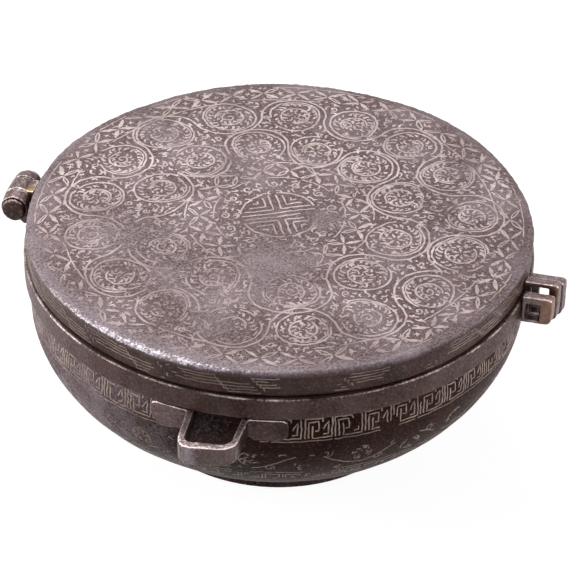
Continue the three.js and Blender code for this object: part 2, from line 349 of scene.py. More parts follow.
def bowlInside(outside):
    # the wall's other side, square to the outside
    points = []
    rimWall = bowl["topRadius"] - bowl["lipOuter"] + bowl["lipThickness"]
    for i in range(len(outside) - 1, 0, -2):
        before, after = outside[i - 1], outside[min(i + 1, len(outside) - 1)]
        along = Vector((after[0] - before[0], after[1] - before[1])).normalized()
        nearRim = ramp(i, len(outside) * 0.55, len(outside))
        wall = bowl["wall"] + (rimWall - bowl["wall"]) * nearRim
        points.append((max(outside[i][0] - along.y * wall, 0.4), outside[i][1] + along.x * wall))
    return points


def makeBowl():
    outside = bowlOutside()
    lipInner = bowl["lipOuter"] - bowl["lipThickness"]
    rim = [(bowl["topRadius"], bowl["seat"] - 0.3), (bowl["topRadius"] - 0.3, bowl["seat"]),
           (bowl["lipOuter"], bowl["seat"]), (bowl["lipOuter"], bowl["lipTop"] - 0.6)]
    rim += corner(bowl["lipOuter"] - 0.6, bowl["lipTop"] - 0.6, 0.55, 0, 90, 3)
    rim += corner(lipInner + 0.6, bowl["lipTop"] - 0.6, 0.55, 90, 180, 3)
    return roundPiece("bowlBody", outside + rim + bowlInside(outside), bowl["steps"])


def bowlSwell(angle, r, z):
    lobe = max(math.cos(angle - math.radians(bowl["swellWay"])), 0) ** 2
    return bowl["swell"] * lobe * ramp(z, 8, 26) * (1 - ramp(z, 40, 58))


def bowlWearAndReflection(x, y, z, normal):
    # bright on the lip from wear, and a painted reflection of the table where the low belly turns towards it
    lip = ramp(z, bowl["lipTop"] - 1.0, bowl["lipTop"])
    tableReflection = ramp(z, 11.5, 14.5) * (1 - ramp(z, 19.0, 24.0)) * ramp(-normal.z, 0.3, 0.6)
    return 0.6 * lip + 0.2 * tableReflection * (1 + cloud(x, y, 6)) + 0.12 * cloud(x, y, 12)


def bowlShade(x, y, z, normal):
    # patina and painted shade: darkest at the front, paler at the sides and towards the foot
    front = math.cos(math.atan2(y, x) - math.radians(bowl["darkWay"]))
    return 0.05 + 0.95 * ramp(front, 0.4, 0.95) - 0.65 * ramp(-z, -32, -20) + 0.15 * cloud(x, y, 16)


def paintedBowlSheen(x, y, z, normal):
    # a painted sheen of the light from the left: silvery grey, strongest at the left and low down
    left = math.cos(math.atan2(y, x) - math.radians(bowl["swellWay"]))
    sheen = 0.45 + 0.35 * ramp(-z, -40, -15) + 0.7 * cloud(x, y, 8, z / 8)
    return ramp(left, 0.2, 0.9) * sheen * ramp(z, 8, 14)


bowlBody = makeBowl()
reshape(bowlBody, bowlSwell)
dent(bowlBody, "bowlDents", *bowl["dents"])
smoothShade(bowlBody)
paint(bowlBody, "wearAndHighlight", bowlWearAndReflection)
paint(bowlBody, "patinaAndShade", bowlShade)
paint(bowlBody, "haze", paintedBowlSheen)
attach(bowlBody, "bowl")
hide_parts("bowl_shell")


# The band round the mouth, its upper edge rubbed to a bright line, with a little painted highlight towards
# the front

band = {"outer": bandHigh.y / mm, "thickness": 3.0, "edgeRound": 0.5, "steps": 400, "dents": (9.0, 0.24)}


def makeBand():
    inner, edge = band["outer"] - band["thickness"], band["edgeRound"]
    top, low, r = bowl["seat"], bowl["bandBottom"], band["outer"] - edge
    outerLow = corner(r, low + edge, edge, -90, 0, 3)
    outerTop = corner(r, top - edge, edge, 0, 90, 4)
    profile = ([(inner, low)] + between((inner, low), outerLow[0], 1) + outerLow
               + between(outerLow[-1], outerTop[0], 6) + outerTop
               + between(outerTop[-1], (inner, top), 2) + [(inner, top), (inner, low)])
    return roundPiece("rimBandForged", profile, band["steps"])


def bandWearAndHighlight(x, y, z, normal):
    r = math.hypot(x, y)
    edge = (ramp(r, band["outer"] - 1.1, band["outer"] - 0.35)
            * ramp(z, bowl["seat"] - 0.8, bowl["seat"] - 0.2))
    # the rubbed line, a little brighter towards the painted highlight
    return edge * (0.4 + 0.15 * facingRubAndHighlight(x, y) + 0.5 * cloud(x, y, 7))


rimBandForged = makeBand()
dent(rimBandForged, "bandDents", *band["dents"])
smoothShade(rimBandForged)
paint(rimBandForged, "wearAndHighlight", bandWearAndHighlight)
# painted light: the band is paler at the left, where the light falls
paint(rimBandForged, "patinaAndShade", lambda x, y, z, normal: 1.0 - 0.4 * ramp(-x, 30, 70))
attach(rimBandForged, "bowl")
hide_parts("rim_band")


# The foot ring

foot = {"inner": 44.0, "outer": footHigh.y / mm, "top": 47.6, "height": 5.6, "edgeRound": 0.7, "steps": 320}


def makeFoot():
    edge = foot["edgeRound"]
    low = corner(foot["outer"] - edge, edge, edge, -90, 0, 4)
    innerTop = footHigh.z / mm - 1.0
    profile = ([(foot["inner"], 0.0)] + between((foot["inner"], 0), low[0], 2) + low
               + between(low[-1], (foot["top"], foot["height"]), 4) + [(foot["top"], foot["height"])]
               + [(foot["inner"], innerTop), (foot["inner"], 0.0)])
    return roundPiece("footRingForged", profile, foot["steps"])


footRingForged = makeFoot()
smoothShade(footRingForged)
paint(footRingForged, "wearAndHighlight", lambda x, y, z, normal: 0.5 * ramp(z, 1.2, 0.2))
paint(footRingForged, "patinaAndShade", lambda x, y, z, normal: 0.6)
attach(footRingForged, "bowl")
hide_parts("foot_ring")
print("stage: bowl, band and foot")


# Fittings: forged and filed by hand, so every edge is soft and no face is quite flat

# bevel and voxel size in mm, polish and painted light of upward faces, darkness of the rest in patina and
# painted shade, and how fast edges brighten
loopFinish = {"bevel": 0.6, "voxel": 0.32, "polishAndTopLight": 0.34, "dark": 1.0, "gain": 5.0}
hingeFinish = {"bevel": 0.45, "voxel": 0.22, "polishAndTopLight": 0.12, "dark": 0.8, "gain": 9.0}
lugFinish = {"bevel": 0.4, "voxel": 0.22, "polishAndTopLight": 0.12, "dark": 0.6, "gain": 9.0}
fittings = [
    dict(loopFinish, name="strapLoopFront", node="front_strap_loop", body="bowl"),
    dict(loopFinish, name="strapLoopRear", node="rear_strap_loop", body="bowl"),
    dict(hingeFinish, name="knuckleFront", node="hinge_knuckle_front", body="bowl"),
    dict(hingeFinish, name="knuckleRear", node="hinge_knuckle_rear", body="bowl"),
    dict(hingeFinish, name="knuckleLid", node="hinge_knuckle_lid", body="lid", dark=0.7),
    dict(hingeFinish, name="pinPeened", node="hinge_pin", body="bowl", bevel=0.25, voxel=0.2, polishAndTopLight=0.1,
         dark=1.0),
    # the front lug is paler, a painted reflection of the bright surroundings on its face
    dict(lugFinish, name="lugFront", node="clasp_lug_front", body="bowl", polishAndTopLight=0.15, dark=0.15),
    dict(lugFinish, name="lugLid", node="clasp_lug_lid", body="lid"),
    dict(lugFinish, name="lugRear", node="clasp_lug_rear", body="bowl"),
]
hingeSeam = -2.9    # y of the joint between the near and the middle knuckle, in mm
loopFace = (95, 97)    # distance in mm from the middle at which a loop's outer face begins
# place and reach in mm of the painted highlight on the loops' outer faces
loopHighlightPatch = {"x": -5.2, "reach": 2.4}


def brazeAt(x, y, z, normal):
    # brass from the brazing shows where a hinge or clasp piece meets the round wall
    gap = math.hypot(x, y) - lid["radius"]
    seam = 1 - ramp(abs(y - hingeSeam), 0.5, 1.8)
    atHinge = ramp(-x, 80, 84) * max((1 - ramp(gap, 0.4, 1.6)) * 0.6, (1 - ramp(gap, 2.2, 4.6)) * seam)
    atClasp = ramp(x, 80, 84) * (1 - ramp(gap, 0.6, 1.8)) * 0.5
    return max(atHinge, atClasp) * (0.8 + 0.6 * cloud(y, z, 2.2))


def stainAt(x, y, z, normal):
    # an orange-brown stain on the clasp's front lug and inside its holes
    outer = ramp(x, 88.5, 93.0) * ramp(-y, 4.0, 12.0) * ramp(-normal.y, -0.1, 0.5)
    return outer * (0.35 + 0.25 * ramp(z, 62, 67) + 0.9 * cloud(x, z, 2.4))


def paintedLoopHighlight(x, y, z, normal):
    # a painted highlight: a pale patch on each loop's outer face, where a lamp is reflected
    patch = math.exp(-((x - loopHighlightPatch["x"]) / loopHighlightPatch["reach"]) ** 2)
    return patch * ramp(abs(y), *loopFace) * ramp(abs(normal.y), 0.4, 0.8)


def fittingShade(dark, x, y, normal):
    # painted light over the patina: paler on upward faces, on the loops' outer faces and on the front loop's
    # left tab
    leftTab = 0.65 * ramp(-x, 10, 13) * ramp(-y, 60, 70)
    return dark - leftTab - 0.4 * ramp(normal.z, 0.2, 0.9) - 0.45 * ramp(abs(y), *loopFace)


def forgedCopy(fitting):
    # the solid's own shape with soft, hand-filed edges
    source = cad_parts[fitting["node"]]
    piece = bpy.data.objects.new(fitting["name"], source.data.copy())
    scene.collection.objects.link(piece)
    only(piece)
    bpy.ops.object.mode_set(mode="EDIT")
    bpy.ops.mesh.select_all(action="SELECT")
    bpy.ops.mesh.remove_doubles(threshold=0.005 * mm)
    bpy.ops.mesh.dissolve_limited(angle_limit=math.radians(2))
    bpy.ops.object.mode_set(mode="OBJECT")
    finishWith(piece, "BEVEL", width=fitting["bevel"] * mm, segments=2, limit_method="ANGLE",
               angle_limit=math.radians(40), use_clamp_overlap=True)
    finishWith(piece, "REMESH", mode="VOXEL", voxel_size=fitting["voxel"] * mm, adaptivity=0.0)
    finishWith(piece, "SMOOTH", factor=0.5, iterations=3)
    dent(piece, fitting["name"] + "Blows", 5.0, 0.34, depth=1)
    dent(piece, fitting["name"] + "Pits", 1.0, 0.16)
    rubbed(piece, 8, fitting["gain"], fitting["polishAndTopLight"])
    paint(piece, "patinaAndShade", lambda x, y, z, normal: fittingShade(fitting["dark"], x, y, normal))
    paint(piece, "braze", brazeAt)
    paint(piece, "stain", stainAt)
    paint(piece, "haze", paintedLoopHighlight)
    only(piece)
    bpy.ops.object.shade_smooth()
    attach(piece, fitting["body"])
    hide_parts(fitting["node"])
    return piece


forged = [forgedCopy(fitting) for fitting in fittings]
print("stage: fittings")


# The silver inlay. Each wire is drawn flat, in mm, as points with a width at each.

sheet = []    # the strokes of the drawing in hand
# lengths in mm: how far a wire stands proud, two widths, the tremble of its line, the gap at which it is
# laid outside a wall before it is pressed on, and the bare strip along the lid's edge
wire = {"proud": 0.035, "thickness": 0.16, "fine": 0.5, "plain": 0.62, "wobble": 0.11, "gap": 0.5,
        "bareEdge": 2.2}
swellOf = {
    "even": lambda t: 1.0,
    "leaf": lambda t: 0.15 + 0.85 * math.sin(math.pi * t),
    "comma": lambda t: 0.5 + 0.8 * t,
    "tapered": lambda t: 0.35 + 0.65 * math.sin(math.pi * (0.15 + 0.7 * t)),
}


def stroke(points, width, shape="even"):
    # one hammered-in wire with the small wobble of handwork
    last = max(len(points) - 1, 1)
    sheet.append([(x + draw.gauss(0, wire["wobble"]), y + draw.gauss(0, wire["wobble"]),
                   width * swellOf[shape](i / last) * draw.uniform(0.8, 1.2))
                  for i, (x, y) in enumerate(points)])


def onCircle(x, y, radius, angle):
    return (x + radius * math.cos(angle), y + radius * math.sin(angle))


def arcOf(x, y, radius, start, end, width, step=1.3):
    count = max(3, int(abs(end - start) * radius / step))
    stroke([onCircle(x, y, radius, a) for a in evenly(start, end, count)], width)


def spiral(x, y, inner, outer, start, turns, width):
    count = max(5, int(abs(turns) * 9))
    stroke([onCircle(x, y, inner + (outer - inner) * i / count, start + turns * turn * i / count)
            for i in range(count + 1)], width, "tapered")


def hook(x, y, heading, length, width, side=1):
    # a comma: a short curved tail that ends in a thick head
    points = []
    for t in (0, 0.35, 0.7, 1):
        bend = side * 0.3 * length * math.sin(t * math.pi * 0.9)
        points.append((x + length * t * math.cos(heading) - bend * math.sin(heading),
                       y + length * t * math.sin(heading) + bend * math.cos(heading)))
    stroke(points, width, "comma")


def dot(x, y, size):
    a = draw.uniform(0, math.pi)
    u, v = 0.3 * size * math.cos(a), 0.3 * size * math.sin(a)
    stroke([(x - u, y - v), (x + u, y + v)], size)


def leaf(start, end, fat, filled):
    # a pointed leaf, as one fat wire or as its outline
    if filled:
        stroke([along(start, end, t) for t in (0, 0.18, 0.35, 0.5, 0.65, 0.82, 1)], fat, "leaf")
        return
    length = math.dist(start, end)
    u, v = (start[1] - end[1]) / length, (end[0] - start[0]) / length
    for side in (-0.42, 0.42):
        outline = []
        for t in (0, 0.2, 0.4, 0.6, 0.8, 1):
            x, y = along(start, end, t)
            bulge = side * fat * math.sin(math.pi * t)
            outline.append((x + bulge * u, y + bulge * v))
        stroke(outline, wire["fine"])


def star(x, y, size, angle):
    for k in (0, 1):
        a = angle + k * math.pi / 2
        stroke([onCircle(x, y, -size, a), (x, y), onCircle(x, y, size, a)], 0.75, "leaf")


def stemRadius(radius, angle, wave):
    # a stem that winds round a flower is never a true circle
    return radius * (1 + 0.05 * math.cos(2 * angle + wave) + 0.03 * math.cos(3 * angle - wave))


def stem(x, y, radius, wave, start, end, width):
    count = max(4, int(abs(end - start) * radius / 1.3))
    stroke([onCircle(x, y, stemRadius(radius, a, wave), a) for a in evenly(start, end, count)], width)


def toothRow(x, y, radius, length, spacing, start, side, wave=0.0, wobble=0.0):
    # commas that stand inward from a stem like teeth
    count = max(3, int(turn * radius / spacing))
    for i in range(count):
        a = start + turn * (i + 0.5) / count + draw.gauss(0, 0.05)
        r = radius + wobble * (stemRadius(radius, a, wave) - radius)
        if draw.random() < 0.08:
            continue
        lean = side * draw.uniform(0.3, 0.8)
        hook(*onCircle(x, y, r, a), a + math.pi + lean, length * draw.uniform(0.7, 1.25),
             draw.uniform(0.66, 0.95), side)
        if draw.random() < 0.5:
            dot(*onCircle(x, y, r - length * 0.95, a + 0.9 / radius * side), 0.75)


def flowerHeart(x, y, size, angle, hand):
    # what fills a roundel's middle: commas in a ring, a curl, or a flower of leaves
    kind = draw.random()
    if kind < 0.45:
        for k in range(5):
            a = angle + k * turn / 5 + draw.gauss(0, 0.1)
            hook(*onCircle(x, y, size * 0.25, a), a + hand * 0.7, size * 0.55, 0.62, hand)
        dot(x, y, 0.65)
        return
    if kind < 0.75:
        spiral(x, y, 0.3, size * 0.62, angle, hand * 1.3, wire["plain"])
        for k in range(3):
            dot(*onCircle(x, y, size * 0.8, angle + k * 1.9), 0.6)
        return
    for k in range(6):
        a = angle + k * turn / 6
        leaf(onCircle(x, y, size * 0.15, a), onCircle(x, y, size * 0.62, a), 0.95, True)


def roundel(x, y, radius, angle, hand):
    # a flower in a winding stem: double outline, teeth, an open circle with teeth, and a heart
    wave = draw.uniform(0, turn)
    end = angle + hand * draw.uniform(4.9, 6.1)
    stem(x, y, radius, wave, angle, end, wire["plain"] + 0.06)
    tipX, tipY = onCircle(x, y, radius + 1.3, end)
    spiral(tipX, tipY, 0.3, 1.3, end + math.pi, -hand * 1.1, wire["fine"])
    second = angle + draw.uniform(0, turn)
    stem(x, y, radius - 1.0, wave, second, second + hand * draw.uniform(1.6, 4.4), wire["fine"])
    toothRow(x, y, radius - 1.4, 1.9, 2.25, angle, hand, wave, 1.0)
    inner = radius * draw.uniform(0.46, 0.55)
    start = angle + draw.uniform(0, turn)
    arcOf(x, y, inner, start, start + hand * turn * draw.uniform(0.6, 0.92), wire["plain"] + 0.08, step=1.1)
    if draw.random() < 0.5:
        arcOf(x, y, inner - 0.85, start, start + hand * draw.uniform(1.2, 2.6), wire["fine"], step=1.1)
    toothRow(x, y, inner - 0.7, 1.3, 2.1, start, -hand)
    flowerHeart(x, y, inner, start, hand)


def vine(flowers, swing, width):
    # a stem that winds through a ring of flowers, inside one and outside the next
    points = []
    for i, (angle, radius) in enumerate(flowers):
        before = ((angle - flowers[i - 1][0]) % turn) / 2
        after = ((flowers[(i + 1) % len(flowers)][0] - angle) % turn) / 2
        side = 1 if i % 2 else -1
        for k in range(-8, 9):
            lean = k * math.pi / 18
            spread = (after if k > 0 else before) * math.sin(lean)
            points.append(onCircle(0, 0, radius + side * swing * math.cos(lean), angle + spread))
    stroke(points, width)


def chainBand(inner, outer, cells, angle, filled):
    # a row of diamonds made of leaves that meet at their tips, with a star in each
    mid, half = (inner + outer) / 2, math.pi / cells
    for i in range(cells):
        a = angle + 2 * half * i
        tips = [onCircle(0, 0, mid, a - half), onCircle(0, 0, outer, a),
                onCircle(0, 0, mid, a + half), onCircle(0, 0, inner, a)]
        for p, q in zip(tips, tips[1:] + tips[:1]):
            leaf(along(p, q, 0.06), along(p, q, 0.94), draw.uniform(1.1, 1.7), draw.random() < filled)
        star(*onCircle(0, 0, mid, a), 1.25, a + 0.3 + math.pi / 4 * (i % 2))
        for radius, heading in ((inner + 0.9, math.pi), (outer - 0.9, 0)):
            lean = draw.gauss(0, 0.5)
            hook(*onCircle(0, 0, radius, a + half), a + half + heading + lean, 1.4, 0.62, 1 - 2 * (i % 2))
    for radius in (inner - 0.7, outer + 0.5):
        for k in range(9):
            start = angle + k * 0.7 + draw.uniform(0, 0.2)
            arcOf(0, 0, radius, start, start + draw.uniform(0.25, 0.62), wire["fine"])


def brokenLine(path, width, place=lambda u, v: (u, v), step=1.6):
    # straight wires through the path's corners
    points = []
    for p, q in zip(path[:-1], path[1:]):
        count = max(1, int(math.dist(p, q) / step))
        points += [along(p, q, i / count) for i in range(count)]
    stroke([place(*p) for p in points + [path[-1]]], width)


def medallion(radius, angle):
    # a round fret: two bars across the middle and brackets one inside the other on either side
    brackets = [[(0, 1.1), (12.6, 1.1)], [(1.3, 11.7), (1.3, 3.2), (11.2, 3.2)],
                [(3.5, 10.9), (3.5, 5.4), (9.1, 5.4)], [(5.7, 9.1), (5.7, 7.6), (7.6, 7.6)]]
    rim = [onCircle(0, 0, radius, a) for a in evenly(math.radians(12), math.radians(84), 12)]
    for flip in (1, -1):
        for mirror in (1, -1):
            def place(u, v):
                u, v = u * mirror, v * flip
                return (u * math.cos(angle) - v * math.sin(angle), u * math.sin(angle) + v * math.cos(angle))

            stroke([place(*p) for p in rim], 0.62)
            for path in brackets:
                brokenLine(path, 0.6, place)


def curlRing(radius, count):
    for i in range(count):
        a = turn * i / count + draw.gauss(0, 0.05)
        hand = 1 if i % 2 else -1
        spiral(*onCircle(0, 0, radius, a), 0.35, draw.uniform(1.6, 2.1), a + math.pi * 0.9, hand * 1.25,
               wire["plain"])
        hook(*onCircle(0, 0, radius + 1.5, a + 1.15 * math.pi / count), a + math.pi, 2.4, 0.58, hand)
        dot(*onCircle(0, 0, radius - 2.0, a + 0.7 * math.pi / count), 0.6)


def cellsOf(strokes, cell):
    # which small squares of the drawing hold a wire
    taken = set()
    for line in strokes:
        for p, q in zip(line[:-1], line[1:]):
            count = max(1, int(math.dist(p[:2], q[:2]) / 0.5))
            for i in range(count + 1):
                x, y = along(p, q, i / count)
                taken.add((round(x / cell), round(y / cell)))
    return taken


def fillBare(inner, outer, tries, clear, shapeAt, cell=0.7):
    # puts a small form wherever the drawing is still bare for some cells around
    taken = cellsOf(sheet, cell)
    around = [(u, v) for u in range(-clear, clear + 1) for v in range(-clear, clear + 1)]
    for _ in range(tries):
        x, y = onCircle(0, 0, math.sqrt(draw.uniform(inner ** 2, outer ** 2)), draw.uniform(0, turn))
        i, j = round(x / cell), round(y / cell)
        if any((i + u, j + v) in taken for u, v in around):
            continue
        before = len(sheet)
        shapeAt(x, y)
        taken |= cellsOf(sheet[before:], cell)


def looseCurl(x, y):
    spiral(x, y, 0.3, draw.uniform(1.2, 1.7), draw.uniform(0, turn), draw.choice((-1.2, 1.2)), wire["plain"])


def looseComma(x, y):
    hook(x, y, draw.uniform(0, turn), draw.uniform(1.3, 2.8), draw.uniform(0.6, 0.95), draw.choice((-1, 1)))


def looseDot(x, y):
    dot(x, y, draw.uniform(0.55, 0.85))


# The lid's rings from the middle outward: lengths in mm, and the flowers' angles in degrees from the clasp
lidRings = {
    "medallion": (13.0, 0.45),                   # radius and turn
    "curls": (18.4, 13),                         # radius and count
    "innerChain": (23.0, 31.4, 18, 0.1, 0.7),    # radii, cells, turn and the share of solid leaves
    "innerFlowers": (42.4, 9.3),                 # radius of the ring and of a flower
    "innerAngles": (-188, -141, -108, -72, -38, -6, 28, 57, 85, 113, 143),
    "outerFlowers": (63.2, 9.0),
    "outerFirst": -7,
    "outerCount": 17,
    "outerChain": (74.2, 81.8, 42, 0.0, 0.75),
    "fillers": ((32, 75, 2500, 3), (14, 83, 16000, 1), (14, 82, 9000, 1)),    # radii, tries, bare cells
}


def lidDrawing():
    medallion(*lidRings["medallion"])
    curlRing(*lidRings["curls"])
    chainBand(*lidRings["innerChain"])
    innerRing, innerSize = lidRings["innerFlowers"]
    outerRing, outerSize = lidRings["outerFlowers"]
    first, count = math.radians(lidRings["outerFirst"]), lidRings["outerCount"]
    inner = [(math.radians(degrees), innerRing + draw.gauss(0, 0.8)) for degrees in lidRings["innerAngles"]]
    outer = [(first + turn * (i + draw.gauss(0, 0.04)) / count, outerRing + draw.gauss(0, 0.8))
             for i in range(count)]
    for flowers, size in ((inner, innerSize), (outer, outerSize)):
        for i, (angle, radius) in enumerate(flowers):
            x, y = onCircle(0, 0, radius, angle)
            roundel(x, y, size + draw.gauss(0, 0.4), draw.uniform(0, turn), 1 if i % 2 else -1)
        vine(flowers, size + 1.9, wire["plain"] + 0.1)
    chainBand(*lidRings["outerChain"])
    for where, shapeAt in zip(lidRings["fillers"], (looseCurl, looseComma, looseDot)):
        fillBare(*where, shapeAt)


def worn(strokes, rubbing):
    # leaves out what wear has taken, where the rubbing is 1 or more, and breaks long wires there
    kept = []
    for line in strokes:
        run = []
        for point in line:
            if rubbing(point[0], point[1]) < 1.0:
                run.append(point)
                continue
            if len(run) > 1:
                kept.append(run)
            run = []
        if len(run) > 1:
            kept.append(run)
    return kept


def layWires(name, strokes, ground):
    # flat ribbons on the surface, given the thickness of hammered wire
    points, faces, fade = [], [], []
    for line in strokes:
        base = len(points)
        for i, (x, y, w) in enumerate(line):
            a, b = line[max(i - 1, 0)], line[min(i + 1, len(line) - 1)]
            length = math.hypot(b[0] - a[0], b[1] - a[1]) or 1.0
            u, v = -(b[1] - a[1]) / length * w / 2, (b[0] - a[0]) / length * w / 2
            points += [ground["place"](x + u, y + v), ground["place"](x - u, y - v)]
            fade += [ground["fade"](x, y)] * 2
        faces += [(i + 1, i + 3, i + 2, i) for i in range(base, base + 2 * len(line) - 2, 2)]
    mesh = bpy.data.meshes.new(name)
    mesh.from_pydata(points, [], faces)
    writeValues(mesh, "fade", fade)
    piece = bpy.data.objects.new(name, mesh)
    scene.collection.objects.link(piece)
    finishWith(piece, "SHRINKWRAP", target=ground["target"], wrap_mode="ABOVE_SURFACE",
               offset=wire["proud"] * mm, **ground["wrap"])
    finishWith(piece, "SOLIDIFY", thickness=wire["thickness"] * mm, offset=-1.0, use_rim=True)
    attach(piece, ground["body"])
    print("stage:", name, len(piece.data.polygons), "faces")
    return piece


def lidRubbing(x, y):
    # 0 where the silver is whole, 1 and above where it has gone
    r = math.hypot(x, y)
    front = facingRubAndHighlight(x, y) ** 3 * (0.2 * ramp(r, 45, 65) + 0.25 * ramp(r, 72, 81))
    blotch = 0.45 * cloud(x, y, 15, 1) + 0.35 * cloud(x, y, 4.5, 2)
    return 0.3 + 0.12 * ramp(x, 30, 60) + spotsAt(x, y) + front + blotch + 0.5 * ramp(r, 79, 84)


def lidFade(x, y):
    return lidRubbing(x, y) * 0.9 + 0.25 * facingRubAndHighlight(x, y) ** 4 + 0.3 * cloud(x, y, 2.0, 7)


def lidLoss(x, y):
    # the edge that turns down carries no wires
    if math.hypot(x, y) >= lid["radius"] - wire["bareEdge"]:
        return 1.0
    return lidRubbing(x, y) + 0.6 * cloud(x, y, 1.3, 3)


lidGround = {"place": lambda x, y: (x * mm, y * mm, (lid["crownTop"] + 1) * mm), "fade": lidFade,
             "target": lidPlate, "body": "lid",
             "wrap": {"wrap_method": "PROJECT", "use_project_z": True, "use_negative_direction": True}}
zones = {"lidInlayHeart": (0, 33), "lidInlayInner": (33, 53.5),
         "lidInlayOuter": (53.5, 73.5), "lidInlayBorder": (73.5, 90)}
lidDrawing()
lidStrokes = worn(sheet, lidLoss)
silverPieces = []
for name, (low, high) in zones.items():
    part = [line for line in lidStrokes if low <= math.hypot(line[0][0], line[0][1]) < high]
    silverPieces.append(layWires(name, part, lidGround))


# Frets round the bowl and the lid's side, drawn as a strip: x along the wall from the hinge and y up it

def bowlRadius(z):
    heights = [(point[1], point[0]) for point in bowlOutside() if point[0] > bowl["footRadius"]]
    return float(np.interp(z, [h for h, _ in heights], [r for _, r in heights]))


def wallGround(strip, girth, target, body, radiusAt):
    # where a strip's wires lie before they are pressed on, and how much each has faded
    radii = {}
    level, patch, size, fine, seed = strip["fade"]

    def place(x, y):
        a, z = math.pi + x / girth, strip["base"] + y
        step = round(z, 1)
        if step not in radii:
            radii[step] = radiusAt(z) + wire["gap"]
        return (radii[step] * math.cos(a) * mm, radii[step] * math.sin(a) * mm, z * mm)

    def fade(x, y):
        return level + patch * cloud(x, y, size, seed) + fine * cloud(x, y, 2, seed + 1)

    return {"place": place, "target": target, "body": body, "fade": fade,
            "wrap": {"wrap_method": "NEAREST_SURFACEPOINT"}}


def borderLine(length, y, width):
    x = 0.0
    while x < length:
        run = draw.uniform(9, 26)
        count = max(2, int(run / 1.5))
        stroke([(x + run * i / count, y) for i in range(count + 1)], width)
        x += run + draw.uniform(0.2, 1.0)


# Lengths in mm; "fade" is a level, the strength and size of its patches, the strength of its grain, a seed
fret = {"radius": 84.4, "base": 50.9, "cell": 1.25, "cellsAcross": 8, "width": 0.48, "lines": (-1.3, 8.6),
        "fade": (0.4, 0.5, 12, 0.4, 4)}
fretPaths = [    # one unit of the fret, in cells: nested hooks that hang down and stand up by turns
    [(0, 0), (0, 6), (4.6, 6), (4.6, 5)],
    [(0.95, 0), (0.95, 5), (3.6, 5), (3.6, 2.2), (2.6, 2.2)],
    [(2.0, 3.9), (2.0, 0), (7.1, 0), (7.1, 6)],
    [(4.8, 1.1), (6.1, 1.1), (6.1, 4.9), (5.3, 3.8), (4.9, 2.6)],
]


def fretStrip():
    length = turn * fret["radius"]
    units = round(length / (fret["cell"] * fret["cellsAcross"]))
    cell = length / units / fret["cellsAcross"]
    for k in range(units):
        lean = draw.gauss(0, 0.12)

        def place(u, v):
            return ((k * fret["cellsAcross"] + u + lean * v / 6) * cell, v * fret["cell"])

        for path in fretPaths:
            brokenLine(path, fret["width"], place, 1.0)
    for y in fret["lines"]:
        borderLine(length, y, 0.32)


def fretRubbing(x, y):
    # the straps have rubbed the fret away beside the loops
    quarter = fret["radius"] * turn / 4
    fromLoop = min(abs(x - quarter), abs(x - 3 * quarter))
    nearLoop = 1.5 * (1 - ramp(fromLoop, 9, 16))
    return 0.62 + nearLoop + 0.75 * cloud(x, 2 * y, 14, 5) + 0.4 * cloud(x, y, 3.2, 6)


sheet = []
fretStrip()
fretGround = wallGround(fret, fret["radius"], bowlBody, "bowl", bowlRadius)
silverPieces.append(layWires("bowlInlayFret", worn(sheet, fretRubbing), fretGround))


lower = {"base": 46.0, "units": 14, "width": 0.44, "scrollAt": -7.2, "swing": 3.9, "lineAt": -14.2,
         "keyPitch": 7.4, "keyTop": -16.0, "keyFoot": -20.0, "fade": (0.75, 0.35, 9, 0.3, 14)}


def lowerStrip():
    # a running scroll with a flower in each hollow, and a narrow key pattern below it
    length, w, mid = turn * fret["radius"], lower["width"], lower["scrollAt"]
    unit = length / lower["units"]
    scroll = evenly(0, length, int(length / 1.5))[:-1]
    stroke([(x, mid + lower["swing"] * math.sin(turn * x / unit)) for x in scroll], w)
    for k in range(2 * lower["units"]):
        x, hand = unit * (k / 2 + 0.25), 1 if k % 2 else -1
        y = mid + 1.6 * hand
        arcOf(x, y, 3.5, k, k + hand * 5.2, w)
        toothRow(x, y, 3.0, 1.3, 2.2, k, hand)
        arcOf(x, y, 1.3, k + 1, k + 1 + hand * 4.6, w, step=0.7)
        spiral(x + 6.8, mid - 3.4 * hand, 0.4, 2.0, hand * math.pi / 2, -hand * 1.3, w)
        hook(x - 6.4, mid - 4.0 * hand, 0.4 * k, 2.6, 0.55, hand)
        dot(x + 4.6, mid + 4.6 * hand, 0.7)
    top, low = lower["keyTop"], lower["keyFoot"]
    keys = round(length / lower["keyPitch"])
    for k in range(keys):
        u = length * k / keys
        brokenLine([(u, low), (u, top), (u + 5.0, top), (u + 5.0, top - 2.7), (u + 2.4, top - 2.7),
                    (u + 2.4, top - 1.4)], w, step=1.2)
        brokenLine([(u, low), (u + 6.3, low), (u + 6.3, top)], w, step=1.2)
    borderLine(length, lower["lineAt"], 0.34)


def lowerRubbing(x, y):
    return 0.82 + 0.8 * cloud(x, 1.4 * y, 13, 8) + 0.6 * cloud(x, y, 2.6, 9)


sheet = []
lowerStrip()
lowerGround = wallGround(lower, fret["radius"], bowlBody, "bowl", bowlRadius)
silverPieces.append(layWires("bowlInlayLower", worn(sheet, lowerRubbing), lowerGround))


stepped = {"base": lid["bottom"] + 0.7, "units": 18, "rows": 4, "pitch": 1.15, "drop": 2.2,
           "width": 0.34, "fade": (0.55, 0.4, 10, 0.3, 24)}


def stepStrip(length):
    # lines side by side that run level, step down, and step up again
    unit = length / stepped["units"]
    for k in range(stepped["units"]):
        x = (k + draw.gauss(0, 0.06)) * unit
        for i in range(stepped["rows"]):
            shift = i * stepped["pitch"]
            low, high, bend = 0.5 + shift, 0.5 + shift + stepped["drop"], x + unit * 0.55 - shift
            brokenLine([(x - shift, high), (bend, high), (bend + 0.9, low), (x + unit * 0.93 - shift, low)],
                       stepped["width"], step=1.4)
            hook(x + unit * 0.97 - shift, low + 0.9, math.pi / 2, 1.4, 0.42, 1)


